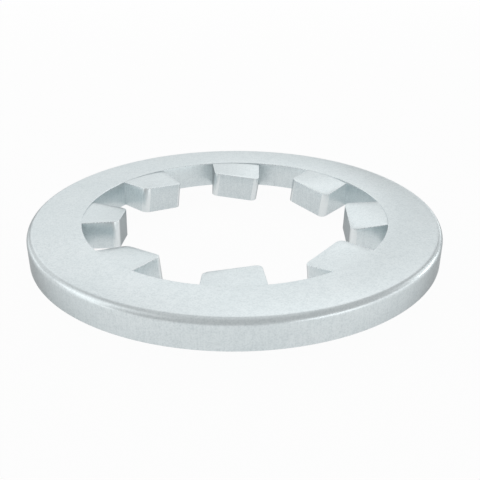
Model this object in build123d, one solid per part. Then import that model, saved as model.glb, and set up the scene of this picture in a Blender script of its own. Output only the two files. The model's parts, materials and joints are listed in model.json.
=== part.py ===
from build123d import *
from math import cos, radians, sin
import os

# Toothed lock washer, all dimensions in millimetres. One piece of sheet steel: a flat ring whose
# bore carries a row of short teeth, each twisted the same way about its own centre line, so that
# one corner of the tooth stays level with the ring and the opposite one bites below it.

# Ring
outer_diameter = 11.0
ring_bore = 8.2  # measured in the gaps between the teeth
thickness = 0.745
rim_radius = 0.17  # rolled-over edge round the top of the rim

# Teeth
tooth_count = 8
tip_gap = 6.16  # between the flat tips of two opposite teeth
root_width = 1.55
tip_width = 1.40
twist = 8.6  # degrees, reached at the tip
twist_depth = 0.11  # how far inside the ring the twist begins
face_step = 0.004  # the high corner of a tooth lies this little below the ring's top face
tip_corner_radius = 0.165

node_name = "toothed_lock_washer"


def ring():
    """Flat ring with its top face at Z = 0 and a rounded upper rim."""
    blank = extrude(Circle(outer_diameter / 2) - Circle(ring_bore / 2), -thickness)
    rim = blank.edges().group_by(Axis.Z)[-1].sort_by(SortBy.LENGTH)[-1]
    return fillet(rim, rim_radius)


def tooth_section(reach):
    """Cross-section of a tooth, from reach 0 where its twist begins to reach 1 at its tip.

    The section turns about the tooth's centre line, which sinks just enough to keep the high
    corner of the section level along the tooth. It starts a face step inside both faces of the
    ring and has the full sheet thickness at the tip.
    """
    root_radius = ring_bore / 2 + twist_depth
    radius = root_radius + (tip_gap / 2 - root_radius) * reach
    width = root_width + (tip_width - root_width) * reach
    height = thickness - 2 * face_step * (1 - reach)
    turn = radians(twist) * reach
    rise = width / 2 * sin(turn) + height / 2 * cos(turn)
    section_plane = Plane(
        origin=(radius, 0, -face_step - rise),
        x_dir=(0, cos(turn), sin(turn)),
        z_dir=(1, 0, 0),
    )
    return section_plane * Rectangle(width, height)


def tooth():
    """Twisted tooth pointing from the ring towards the axis, with its two tip corners rounded."""
    blade = loft([tooth_section(0), tooth_section(1)], ruled=True)
    tip = blade.faces().sort_by(Axis.X)[0]
    upright_tip_edges = tip.edges().sort_by(Axis.Y)
    return fillet([upright_tip_edges[0], upright_tip_edges[-1]], tip_corner_radius)


def washer():
    """Ring and teeth as one solid, standing on the low corners of its teeth at Z = 0."""
    pitch = 360 / tooth_count
    one_tooth = tooth()
    body = Rot(0, 0, pitch / 2) * ring()  # keeps the seam of the bore in a gap
    for i in range(tooth_count):
        body += Rot(0, 0, i * pitch) * one_tooth
    return Pos(0, 0, -body.bounding_box().min.Z) * body


lock_washer = washer()
lock_washer.label = node_name

os.makedirs("parts", exist_ok=True)
export_step(lock_washer, f"parts/{node_name}.step")

size = lock_washer.bounding_box().size
print(f"{node_name}: {size.X:.3f} x {size.Y:.3f} x {size.Z:.3f} mm, {lock_washer.volume:.3f} mm3")
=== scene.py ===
"""Toothed lock washer in zinc-plated spring steel, and the pale table that it is shown on."""

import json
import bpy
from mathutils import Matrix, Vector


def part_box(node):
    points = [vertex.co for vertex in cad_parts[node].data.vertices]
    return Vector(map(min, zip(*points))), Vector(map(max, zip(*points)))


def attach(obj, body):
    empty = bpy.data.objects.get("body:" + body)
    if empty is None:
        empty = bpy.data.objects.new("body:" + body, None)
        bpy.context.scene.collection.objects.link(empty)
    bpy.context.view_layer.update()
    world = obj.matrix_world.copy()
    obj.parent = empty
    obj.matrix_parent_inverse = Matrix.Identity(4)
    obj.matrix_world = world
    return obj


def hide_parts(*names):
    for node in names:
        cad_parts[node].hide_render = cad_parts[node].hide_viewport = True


bl_info = {
    "name": "Toothed lock washer",
    "version": (1, 0, 0),
    "blender": (4, 5, 0),
    "location": "3D View > Sidebar > Lock washer",
    "description": "Makes an internal-tooth lock washer in zinc-plated steel, and a table to show it on",
    "category": "Add Mesh",
}

from math import atan2, cos, hypot, pi, radians, sin

import bmesh
import bpy
from bpy.props import FloatProperty, FloatVectorProperty, IntProperty, PointerProperty
from mathutils import Matrix, Vector

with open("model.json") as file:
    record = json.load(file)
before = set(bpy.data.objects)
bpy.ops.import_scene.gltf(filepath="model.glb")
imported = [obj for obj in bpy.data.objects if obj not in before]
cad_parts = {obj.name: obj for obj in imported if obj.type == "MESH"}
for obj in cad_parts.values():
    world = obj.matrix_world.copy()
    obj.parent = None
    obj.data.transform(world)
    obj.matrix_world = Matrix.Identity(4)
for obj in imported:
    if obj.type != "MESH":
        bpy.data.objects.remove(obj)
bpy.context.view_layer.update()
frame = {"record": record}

BODY = "root"
NODE = "toothed_lock_washer"
MM = 0.001

TOUCHING = 0.001  # millimetres, less than any detail
SHARP_CORNER = radians(40)
MOST_CORNERS = 4  # a face with more is split into triangles

# How finely the curves are drawn
RING_STEPS = 256
RIM_SEGMENTS = 12
CORNER_SEGMENTS = 10
EDGE_SEGMENTS = 3
TOOTH_STRIPS = 8

NODE_LOW, NODE_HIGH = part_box(NODE)
MOUNTS = {mount["name"]: mount for mount in frame["record"]["mounts"]}
RING_TOP = MOUNTS["top_face"]["pos_m"][2]
RING_UNDERSIDE = MOUNTS["under_face"]["pos_m"][2]
TIP_RADIUS = MOUNTS["screw_hole"]["dims"]["r_mm"] * MM


# Sizes and finishes that a user would change


def length(name, description, default):
    """A size in metres, shown in the scene's unit of length."""
    return FloatProperty(
        name=name,
        description=description,
        default=default,
        min=0,
        precision=6,
        unit="LENGTH",
        subtype="DISTANCE",
    )


def angle(name, description, default):
    """An angle, kept in radians and shown in degrees."""
    return FloatProperty(
        name=name,
        description=description,
        default=default,
        unit="ROTATION",
        subtype="ANGLE",
    )


def share(name, description, default):
    """A share from 0 to 1."""
    return FloatProperty(
        name=name,
        description=description,
        default=default,
        min=0,
        max=1,
        subtype="FACTOR",
    )


def color(name, description, default):
    """A linear colour."""
    return FloatVectorProperty(
        name=name,
        description=description,
        default=default,
        min=0,
        max=1,
        size=3,
        subtype="COLOR",
    )


class LOCKWASHER_PG_sizes(bpy.types.PropertyGroup):
    """Sizes of the stamped washer"""

    outer_diameter: length("Outside diameter", "Across the ring's outer wall", NODE_HIGH.x - NODE_LOW.x)
    ring_bore: length("Ring bore", "Across the hole, in the gaps between the teeth", 8.2 * MM)
    thickness: length("Sheet thickness", "Thickness of the steel sheet", RING_TOP - RING_UNDERSIDE)
    rim_radius: length("Rim radius", "Radius of the rounded outer edge of the top face", 0.17 * MM)
    edge_radius: length("Edge radius", "Radius of the tumbled small edges", 0.012 * MM)
    tooth_count: IntProperty(
        name="Teeth",
        description="Number of teeth round the bore",
        default=8,
        min=2,
        max=24,
    )
    tip_gap: length("Tip gap", "Between the flat tips of opposite teeth", 2 * TIP_RADIUS)
    root_width: length("Root width", "Width of a tooth where it leaves the ring", 1.55 * MM)
    tip_width: length("Tip width", "Width of a tooth at its tip", 1.40 * MM)
    twist: angle("Twist", "Turn of the tooth tip round the tooth's own centre line", radians(8.6))
    twist_depth: length("Twist depth", "How far behind the bore the twist begins", 0.11 * MM)
    face_step: length("Face step", "How far a tooth's high side lies under the ring face", 0.004 * MM)
    tip_corner_radius: length("Tip corner radius", "Radius of the upright corners at a tip", 0.165 * MM)


class LOCKWASHER_PG_finish(bpy.types.PropertyGroup):
    """Colours and texture of the zinc plating"""

    zinc_color: color("Zinc", "Colour of the plated faces", (0.83, 0.888, 0.902))
    clouded_color: color("Clouded zinc", "Colour of the plating's duller clouds", (0.80, 0.865, 0.88))
    # Besides the grain's hollows and the drag lines, this colour also paints shade on the tooth tips and
    # along the root creases.
    hollow_color: color("Grain hollows", "Colour at the bottom of the grain", (0.66, 0.725, 0.745))
    # Along the small edges this colour is wear; on the rounded tip corners it is a painted highlight.
    edge_color: color("Rubbed edges", "Colour of the corners and edges rubbed bright", (0.93, 0.965, 0.97))
    grazing: share("Grazing shade", "How bright the metal stays where it is seen nearly edge-on", 0.45)
    roughness: share("Roughness", "Roughness of the satin plating", 0.32)
    relief_height: length("Relief height", "Height of the grain and drag lines at full depth", 0.004 * MM)
    grain: share("Grain", "Depth of the plating's fine grain", 0.3)
    drag_lines: share("Drag lines", "Depth of the lines that the punch drags down the walls", 0.3)


class LOCKWASHER_PG_stage(bpy.types.PropertyGroup):
    """Table, light and camera"""

    table_color: color("Table", "Colour of the pale table", (0.9, 0.9, 0.9))
    table_width: length("Table width", "Along each side of the table", 1.2)
    table_white: share("Table white", "How plain white the table looks; less shows more shadow", 0.95)
    mirrored_white: share("Mirrored white", "How plain white the metal mirrors the table", 0.6)
    surround: share("Surround", "Brightness of the even light from all round", 0.5)
    mirrored_backdrop: share("Mirrored backdrop", "How far the metal mirrors a white backdrop", 0.08)
    lamp_distance: length("Lamp distance", "From the washer to each lamp", 80 * MM)
    camera_lens: length("Camera lens", "Focal length on a sensor 36 mm wide", 49.81575 * MM)
    camera_distance: length("Camera distance", "To the middle of the ring's top face", 18.177 * MM)
    camera_azimuth: angle("Camera azimuth", "Direction round the washer's axis", radians(-89.64))
    camera_elevation: angle("Camera elevation", "Height over the ring's top face", radians(23.165))
    camera_pan: angle("Camera pan", "Turn of the view to the side", radians(-0.422))
    camera_tilt: angle("Camera tilt", "Turn of the view up or down", radians(-2.429))
    camera_roll: angle("Camera roll", "Turn of the view round its own axis", radians(-0.176))


# Mesh helpers: pieces are drawn in millimetres, where joins are exact, and scaled to metres last


def in_mm(sizes):
    """The named sizes in millimetres; angles and counts stay as they are."""
    kept = ("twist", "tooth_count")
    names = sizes.__annotations__
    return {name: getattr(sizes, name) if name in kept else getattr(sizes, name) / MM for name in names}


def bevel(bm, edges, radius, segments):
    """Rounds the edges and returns the new faces."""
    made = bmesh.ops.bevel(
        bm,
        geom=edges,
        offset=radius,
        offset_type="OFFSET",
        affect="EDGES",
        segments=segments,
        profile=0.5,
        material=-1,
        clamp_overlap=False,
    )
    return made["faces"]


def edges_where(bm, test):
    """The edges whose two ends both pass the test."""
    return [edge for edge in bm.edges if all(test(vert.co) for vert in edge.verts)]


def ring_edges(bm, radius, height):
    """The edges of the circle at this radius and height."""

    def on_circle(co):
        return abs(hypot(co.x, co.y) - radius) < TOUCHING and abs(co.z - height) < TOUCHING

    return edges_where(bm, on_circle)


def draw_ring(size):
    """The plain ring, its top face at height 0, with the rounded rim and small tumbled edges."""
    bore = size["ring_bore"] / 2
    rim = size["outer_diameter"] / 2
    under = -size["thickness"]
    bm = bmesh.new()
    worn = bm.faces.layers.float.new("worn_edge")
    places = ((bore, 0, 0), (rim, 0, 0), (rim, 0, under), (bore, 0, under))
    corners = [bm.verts.new(place) for place in places]
    section = [bm.edges.new((corners[i - 1], corners[i])) for i in range(4)]
    bmesh.ops.spin(
        bm,
        geom=corners + section,
        cent=(0, 0, 0),
        axis=(0, 0, 1),
        angle=2 * pi,
        steps=RING_STEPS,
        use_merge=True,
    )
    bevel(bm, ring_edges(bm, rim, 0), size["rim_radius"], RIM_SEGMENTS)
    small = ring_edges(bm, rim, under) + ring_edges(bm, bore, 0) + ring_edges(bm, bore, under)
    for face in bevel(bm, small, size["edge_radius"], EDGE_SEGMENTS):
        face[worn] = 1
    bmesh.ops.recalc_face_normals(bm, faces=bm.faces)
    return bm


def tooth_ends(size):
    """How far from the axis a tooth has its tip, and where its twist begins behind the bore."""
    return size["tip_gap"] / 2, size["ring_bore"] / 2 + size["twist_depth"]


def draw_tooth(size):
    """One tooth along +X, still flat, with its rounded tip corners and tumbled edges."""
    tip, root = tooth_ends(size)
    bm = bmesh.new()
    worn = bm.faces.layers.float.new("worn_edge")
    # The rounded tip corners are marked here for a painted highlight.
    corner = bm.faces.layers.float.new("tip_corner")
    # The flat tip face is marked here for painted shade.
    tip_shade = bm.faces.layers.float.new("torn_tip")
    bmesh.ops.create_cube(bm, size=1)
    for vert in bm.verts:
        at_tip = vert.co.x < 0
        vert.co.x = tip if at_tip else root
        vert.co.y *= size["tip_width"] if at_tip else size["root_width"]
        vert.co.z *= size["thickness"]

    def clear_of_root(vert):
        return vert.co.x < root - TOUCHING

    for face in bm.faces:
        face[tip_shade] = all(map(clear_of_root, face.verts))
    upright = [edge for edge in bm.edges if is_upright(edge) and all(map(clear_of_root, edge.verts))]
    for face in bevel(bm, upright, size["tip_corner_radius"], CORNER_SEGMENTS):
        face[corner] = 1
        face[tip_shade] = 0
    rims = [edge for edge in bm.edges if is_level(edge) and any(map(clear_of_root, edge.verts))]
    for face in bevel(bm, rims, size["edge_radius"], EDGE_SEGMENTS):
        face[worn] = 1
    return bm


def is_upright(edge):
    """Whether the edge runs along Z."""
    along = edge.verts[1].co - edge.verts[0].co
    return abs(along.z) > 0.99 * along.length


def is_level(edge):
    """Whether the edge lies in a level plane."""
    along = edge.verts[1].co - edge.verts[0].co
    return abs(along.z) < 0.01 * along.length


def twist_tooth(bm, size):
    """Turns the tooth more and more towards its tip, so that one long edge stays level with the ring."""
    tip, root = tooth_ends(size)
    half_root = size["root_width"] / 2
    half_tip = size["tip_width"] / 2
    half_sheet = size["thickness"] / 2
    for step in range(1, TOOTH_STRIPS):
        cut_across(bm, (tip + (root - tip) * step / TOOTH_STRIPS, 0, 0), (1, 0, 0))
    for step in range(1, TOOTH_STRIPS):
        cut_across(bm, (0, half_tip * (2 * step / TOOTH_STRIPS - 1), 0), (0, 1, 0))
    turn = Matrix.Rotation(size["twist"], 3, "X")
    sink = size["face_step"] + half_tip * sin(size["twist"]) + half_sheet * cos(size["twist"])
    for vert in bm.verts:
        reach = (root - vert.co.x) / (root - tip)
        side = vert.co.y / (half_root + (half_tip - half_root) * reach)
        level = vert.co.z / half_sheet
        at_root = Vector((0, side * half_root, level * (half_sheet - size["face_step"]) - half_sheet))
        at_tip = turn @ Vector((0, side * half_tip, level * half_sheet)) - Vector((0, 0, sink))
        place = at_root.lerp(at_tip, reach)
        vert.co.y = place.y
        vert.co.z = place.z


def cut_across(bm, point, normal):
    """Adds a row of vertices where a plane crosses the piece."""
    everything = bm.verts[:] + bm.edges[:] + bm.faces[:]
    bmesh.ops.bisect_plane(bm, geom=everything, dist=1e-6, plane_co=point, plane_no=normal)


def draw_teeth(size):
    """All the teeth, twisted alike and set round the axis."""
    bm = draw_tooth(size)
    twist_tooth(bm, size)
    bmesh.ops.recalc_face_normals(bm, faces=bm.faces)
    part = bm.faces.layers.int.new("tooth")
    for face in bm.faces:
        face[part] = 1
    count = size["tooth_count"]
    bmesh.ops.spin(
        bm,
        geom=bm.verts[:] + bm.edges[:] + bm.faces[:],
        cent=(0, 0, 0),
        axis=(0, 0, 1),
        angle=2 * pi * (count - 1) / count,
        steps=count - 1,
        use_duplicate=True,
    )
    return bm


def new_object(bm, name):
    """Keeps the drawn mesh as an object of the scene."""
    mesh = bpy.data.meshes.new(name)
    bm.to_mesh(mesh)
    bm.free()
    made = bpy.data.objects.new(name, mesh)
    bpy.context.scene.collection.objects.link(made)
    return made


def fuse(ring, teeth):
    """Joins ring and teeth into one closed skin, and returns it as a bmesh."""
    union = ring.modifiers.new("Teeth", "BOOLEAN")
    union.operation = "UNION"
    union.solver = "EXACT"
    union.object = teeth
    evaluated = ring.evaluated_get(bpy.context.evaluated_depsgraph_get())
    bm = bmesh.new()
    bm.from_mesh(evaluated.to_mesh())
    evaluated.to_mesh_clear()
    for used in (ring, teeth):
        mesh = used.data
        bpy.data.objects.remove(used)
        bpy.data.meshes.remove(mesh)
    return bm


def split_many_sided(bm):
    """Splits the many-sided faces that the join leaves into well-shaped triangles."""
    many_sided = [face for face in bm.faces if len(face.verts) > MOST_CORNERS]
    bmesh.ops.triangulate(bm, faces=many_sided, ngon_method="BEAUTY")


def shade(bm):
    """Smooth faces, with a crease where a tooth leaves the ring and at every sharp corner."""
    tooth = bm.faces.layers.int["tooth"]
    for face in bm.faces:
        face.smooth = True
    for edge in bm.edges:
        sides = {face[tooth] for face in edge.link_faces}
        edge.smooth = len(sides) == 1 and edge.calc_face_angle(0) < SHARP_CORNER


def mark_walls(bm):
    """Marks the upright walls, which the punch sheared, and less so the faces that lean."""
    wall = bm.faces.layers.float.new("sheared_wall")
    least_lean = 0.2
    most_lean = 0.6
    for face in bm.faces:
        lean = abs(face.normal.z)
        face[wall] = min(1, max(0, (most_lean - lean) / (most_lean - least_lean)))


def mark_creases(bm, size):
    """Marks the fine crease in the top face where each tooth leaves the ring, for painted shade along it.
    """
    tooth = bm.faces.layers.int["tooth"]
    worn = bm.faces.layers.float["worn_edge"]
    crease = bm.faces.layers.float.new("root_crease")
    pitch = 2 * pi / size["tooth_count"]
    reach = 0.05
    for face in bm.faces:
        place = face.calc_center_median()
        radius = hypot(place.x, place.y)
        turn = (atan2(place.y, place.x) + pitch / 2) % pitch - pitch / 2
        in_line = abs(radius * sin(turn)) < size["root_width"] / 2
        at_bore = radius < size["ring_bore"] / 2 + reach and place.z > -reach
        if face[worn] and not face[tooth] and in_line and at_bore:
            face[crease] = 1


# Shader maths


class Value:
    """A number socket that takes part in Python arithmetic: each operation adds its Math node."""

    def __init__(self, nodes, socket):
        self.nodes = nodes
        self.socket = socket

    def math(self, operation, *values, clamp=False):
        settings = {"operation": operation, "use_clamp": clamp}
        made = self.nodes.add("ShaderNodeMath", settings, dict(enumerate(values)))
        return Value(self.nodes, made.outputs[0])

    def __add__(self, other):
        return self.math("ADD", self, other)

    __radd__ = __add__

    def __sub__(self, other):
        return self.math("SUBTRACT", self, other)

    def __rsub__(self, other):
        return self.math("SUBTRACT", other, self)

    def __mul__(self, other):
        return self.math("MULTIPLY", self, other)

    __rmul__ = __mul__

    def clamped(self):
        return self.math("ADD", self, 0, clamp=True)


class Nodes:
    """A node tree being built."""

    def __init__(self, tree):
        self.tree = tree
        self.tree.nodes.clear()

    def add(self, kind, settings=None, sockets=None):
        """One node of a type: its settings first, then the values or links of its sockets."""
        node = self.tree.nodes.new(kind)
        for name, value in (settings or {}).items():
            setattr(node, name, value)
        for name, value in (sockets or {}).items():
            value = value.socket if isinstance(value, Value) else value
            if isinstance(value, bpy.types.NodeSocket):
                self.tree.links.new(value, node.inputs[name])
            else:
                node.inputs[name].default_value = value
        return node

    def value(self, node, output=0):
        return Value(self, node.outputs[output])

    def noise(self, place, scale, detail):
        """Noise of a scale, in cells to the metre."""
        made = self.add("ShaderNodeTexNoise", {}, {"Vector": place, "Scale": scale, "Detail": detail})
        return self.value(made, "Fac")

    def attribute(self, name):
        """A number kept on the mesh."""
        made = self.add("ShaderNodeAttribute", {"attribute_type": "GEOMETRY", "attribute_name": name})
        return self.value(made, "Fac")

    def ray_kinds(self):
        """Whether a ray comes straight from the camera or through glass, and whether it is mirrored."""
        path = self.add("ShaderNodeLightPath")
        seen = self.value(path, "Is Camera Ray") + self.value(path, "Is Transmission Ray")
        return seen, self.value(path, "Is Glossy Ray")

    def mix_colors(self, factor, first, second):
        """From the first colour to the second as the factor goes from 0 to 1."""
        made = self.add("ShaderNodeMix", {"data_type": "RGBA"}, {0: factor, 6: first, 7: second})
        return made.outputs[2]


# Finishes


def zinc_material(finish):
    """Satin zinc plating: a fine grain, faint clouds, drag lines down the walls and edges worn bright,
    with a painted highlight on the tip corners and painted shade on the tooth tips and along the root
    creases.
    """
    material = bpy.data.materials.new("satin_zinc")
    material.use_nodes = True
    nodes = Nodes(material.node_tree)
    place = nodes.add("ShaderNodeTexCoord").outputs["Object"]
    line_length = 14  # of a drag line, in its own widths
    stretch = {"Vector": place, "Scale": (1, 1, line_length)}
    tall = nodes.add("ShaderNodeMapping", {"vector_type": "TEXTURE"}, stretch)
    grain = nodes.noise(place, 26 / MM, 3)
    speck = nodes.noise(place, 9 / MM, 2)
    cloud = nodes.noise(place, 0.7 / MM, 4)
    drag = nodes.noise(tall.outputs["Vector"], 22 / MM, 2)
    wall = nodes.attribute("sheared_wall")
    # The crease at each tooth's root gets painted shade and none of the edges' wear.
    crease = nodes.attribute("root_crease")
    edge = nodes.attribute("worn_edge") - crease
    corner = nodes.attribute("tip_corner")
    # Painted shade: the flat tooth tips and the creases at the tooth roots are darkened.
    painted_shade = crease * 0.4 + nodes.attribute("torn_tip") * 0.4
    dragged = wall * (1 - edge).clamped()
    pits = (0.62 - grain) * 2.2 + (0.5 - speck) * 0.8
    hollow_and_shade = (pits + dragged * (0.5 - drag) * 0.8 + painted_shade).clamped()
    in_cloud = (cloud * 3 - 1).clamped()
    clouded = nodes.mix_colors(in_cloud, (*finish.zinc_color, 1), (*finish.clouded_color, 1))
    grained = nodes.mix_colors(hollow_and_shade, clouded, (*finish.hollow_color, 1))
    # Lighter towards the edge colour: real wear along the small edges, and a painted highlight on the tip
    # corners.
    wear_and_painted_highlight = (edge * 0.25 + corner * 0.6).clamped()
    base = nodes.mix_colors(wear_and_painted_highlight, grained, (*finish.edge_color, 1))
    rough = (finish.roughness - 0.05) + grain * 0.05 + cloud * 0.05
    rough = rough + wall * (drag * 0.06 - 0.03) - edge * 0.05
    relief = (grain + speck * 0.5) * finish.grain * (1 - wall * 0.4) + dragged * drag * finish.drag_lines
    raised = {"Strength": 1.0, "Distance": finish.relief_height, "Height": relief}
    bump = nodes.add("ShaderNodeBump", {}, raised)
    surface = nodes.add(
        "ShaderNodeBsdfPrincipled",
        {},
        {
            "Base Color": base,
            "Metallic": 1.0,
            "Roughness": rough,
            "Specular Tint": (finish.grazing, finish.grazing, finish.grazing, 1),
            "Normal": bump.outputs["Normal"],
        },
    )
    nodes.add("ShaderNodeOutputMaterial", {}, {"Surface": surface.outputs["BSDF"]})
    return material


def table_material(stage):
    """Plain pale table that keeps a soft shadow, and looks pale in the metal too."""
    material = bpy.data.materials.new("pale_table")
    material.use_nodes = True
    nodes = Nodes(material.node_tree)
    seen, mirrored = nodes.ray_kinds()
    white = (seen * stage.table_white + mirrored * stage.mirrored_white).clamped()
    matte = nodes.add("ShaderNodeBsdfDiffuse", {}, {"Color": (*stage.table_color, 1)})
    glow = nodes.add("ShaderNodeEmission", {}, {"Color": (1, 1, 1, 1), "Strength": 1.0})
    mix = nodes.add("ShaderNodeMixShader", {}, {0: white, 1: matte.outputs[0], 2: glow.outputs[0]})
    nodes.add("ShaderNodeOutputMaterial", {}, {"Surface": mix.outputs[0]})
    return material


# Stage


# Name, direction round the washer and height over the table in degrees, width and height in millimetres,
# and brightness, which is how white the lamp looks mirrored in the metal
LAMPS = (
    ("east_strip", 0, 5, 26, 14, 0.54),
    ("right_back_strip", 22, 6, 26, 18, 2.2),
    ("back_right_strip", 58, 5, 44, 14, 1.95),
    ("back_strip", 98, 4, 70, 14, 1.25),
    ("left_back_strip", 148, 5, 44, 14, 1.02),
    ("left_strip", 200, 2, 40, 14, 1.2),
    ("right_front_strip", 316, 6, 44, 16, 1.37),
    ("right_strip", 345, 8, 40, 20, 0.45),
    ("right_softbox", 20, 24, 30, 24, 0.61),
    ("back_low_softbox", 100, 16, 60, 20, 0.54),
    ("back_softbox", 90, 34, 110, 46, 0.42),
    ("back_left_softbox", 140, 25, 50, 40, 0.29),
    ("left_softbox", 188, 20, 44, 30, 0.9),
    ("back_upper_softbox", 75, 46, 40, 36, 0.3),
    ("left_upper_softbox", 185, 40, 40, 30, 0.48),
    ("left_front_softbox", 214, 46, 34, 34, 0.19),
    ("top_softbox", 90, 82, 60, 50, 0.14),
)


def add_lamp(stage, name, round_about, height_angle, width, height, brightness):
    """A soft lamp aimed at the washer."""
    data = bpy.data.lights.new(name, "AREA")
    data.shape = "RECTANGLE"
    data.size = width * MM
    data.size_y = height * MM
    data.energy = brightness * pi * data.size * data.size_y
    lamp = bpy.data.objects.new(name, data)
    turned = Matrix.Rotation(radians(round_about + 90), 4, "Z")
    tipped = Matrix.Rotation(radians(90 - height_angle), 4, "X")
    lamp.matrix_world = turned @ tipped @ Matrix.Translation((0, 0, stage.lamp_distance))
    lamp.visible_camera = False
    bpy.context.scene.collection.objects.link(lamp)
    return lamp


def add_world(stage):
    """Even light from all round, in front of a white backdrop."""
    world = bpy.data.worlds.new("studio")
    world.use_nodes = True
    nodes = Nodes(world.node_tree)
    seen, mirrored = nodes.ray_kinds()
    white = (seen + mirrored * stage.mirrored_backdrop).clamped()
    level = white * (1 - stage.surround) + stage.surround
    light = nodes.add("ShaderNodeBackground", {}, {"Color": (1, 1, 1, 1), "Strength": level})
    nodes.add("ShaderNodeOutputWorld", {}, {"Surface": light.outputs[0]})
    bpy.context.scene.world = world


def add_table(stage):
    """A flat table under the washer."""
    bm = bmesh.new()
    bmesh.ops.create_grid(bm, x_segments=1, y_segments=1, size=stage.table_width / 2)
    table = new_object(bm, "table")
    table.data.materials.append(table_material(stage))


def add_camera(stage):
    """The camera, set from its distance, direction and the small turns of its view."""
    data = bpy.data.cameras.new("camera")
    data.sensor_width = 36
    data.lens = stage.camera_lens / MM
    data.clip_start = 1 * MM
    data.clip_end = 5
    camera = bpy.data.objects.new("camera", data)
    centre = Vector((0, 0, RING_TOP))
    level = Vector((cos(stage.camera_azimuth), sin(stage.camera_azimuth), 0))
    away = level * cos(stage.camera_elevation) + Vector((0, 0, sin(stage.camera_elevation)))
    axes = away.to_track_quat("Z", "Y").to_matrix()
    axes = axes @ Matrix.Rotation(stage.camera_pan, 3, "Y")
    axes = axes @ Matrix.Rotation(stage.camera_tilt, 3, "X")
    axes = axes @ Matrix.Rotation(stage.camera_roll, 3, "Z")
    camera.matrix_world = Matrix.Translation(centre + away * stage.camera_distance) @ axes.to_4x4()
    bpy.context.scene.collection.objects.link(camera)
    bpy.context.scene.camera = camera


# Operators and panel


class LOCKWASHER_OT_make_washer(bpy.types.Operator):
    """Make the ring with its twisted teeth as one piece"""

    bl_idname = "lockwasher.make_washer"
    bl_label = "Make washer"

    def execute(self, context):
        size = in_mm(context.scene.lockwasher_sizes)
        ring = new_object(draw_ring(size), "ring")
        teeth = new_object(draw_teeth(size), "teeth")
        bm = fuse(ring, teeth)
        bmesh.ops.remove_doubles(bm, verts=bm.verts, dist=TOUCHING)
        split_many_sided(bm)
        if any(not edge.is_manifold for edge in bm.edges):
            raise RuntimeError("The ring and teeth didn't join into one closed skin")
        shade(bm)
        mark_walls(bm)
        mark_creases(bm, size)
        bmesh.ops.translate(bm, verts=bm.verts, vec=(0, 0, RING_TOP / MM))
        bmesh.ops.scale(bm, verts=bm.verts, vec=(MM, MM, MM))
        washer = new_object(bm, "washer")
        normals = washer.modifiers.new("Flat faces", "WEIGHTED_NORMAL")
        normals.keep_sharp = True
        washer.data.materials.append(zinc_material(context.scene.lockwasher_finish))
        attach(washer, BODY)
        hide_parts(NODE)
        return {"FINISHED"}


class LOCKWASHER_OT_make_stage(bpy.types.Operator):
    """Set out the table, the lamps and the camera"""

    bl_idname = "lockwasher.make_stage"
    bl_label = "Make stage"

    def execute(self, context):
        stage = context.scene.lockwasher_stage
        add_table(stage)
        add_world(stage)
        for lamp in LAMPS:
            add_lamp(stage, *lamp)
        add_camera(stage)
        context.scene.view_settings.view_transform = "Standard"
        return {"FINISHED"}


class LOCKWASHER_PT_sidebar(bpy.types.Panel):
    """Buttons that make the washer and its stage"""

    bl_idname = "LOCKWASHER_PT_sidebar"
    bl_label = "Lock washer"
    bl_space_type = "VIEW_3D"
    bl_region_type = "UI"
    bl_category = "Lock washer"

    def draw(self, context):
        for group in ("lockwasher_sizes", "lockwasher_finish", "lockwasher_stage"):
            settings = getattr(context.scene, group)
            for name in settings.__annotations__:
                self.layout.prop(settings, name)
        for step in STEPS:
            self.layout.operator(step.bl_idname)


STEPS = (LOCKWASHER_OT_make_washer, LOCKWASHER_OT_make_stage)
GROUPS = {
    "lockwasher_sizes": LOCKWASHER_PG_sizes,
    "lockwasher_finish": LOCKWASHER_PG_finish,
    "lockwasher_stage": LOCKWASHER_PG_stage,
}
CLASSES = (*GROUPS.values(), *STEPS, LOCKWASHER_PT_sidebar)


def register():
    for cls in CLASSES:
        bpy.utils.register_class(cls)
    for name, group in GROUPS.items():
        setattr(bpy.types.Scene, name, PointerProperty(type=group))


def unregister():
    for name in GROUPS:
        delattr(bpy.types.Scene, name)
    for cls in reversed(CLASSES):
        bpy.utils.unregister_class(cls)


def main():
    """Registers the add-on and makes everything in order."""
    register()
    bpy.ops.lockwasher.make_washer()
    bpy.ops.lockwasher.make_stage()


if __name__ == "__main__":
    main()
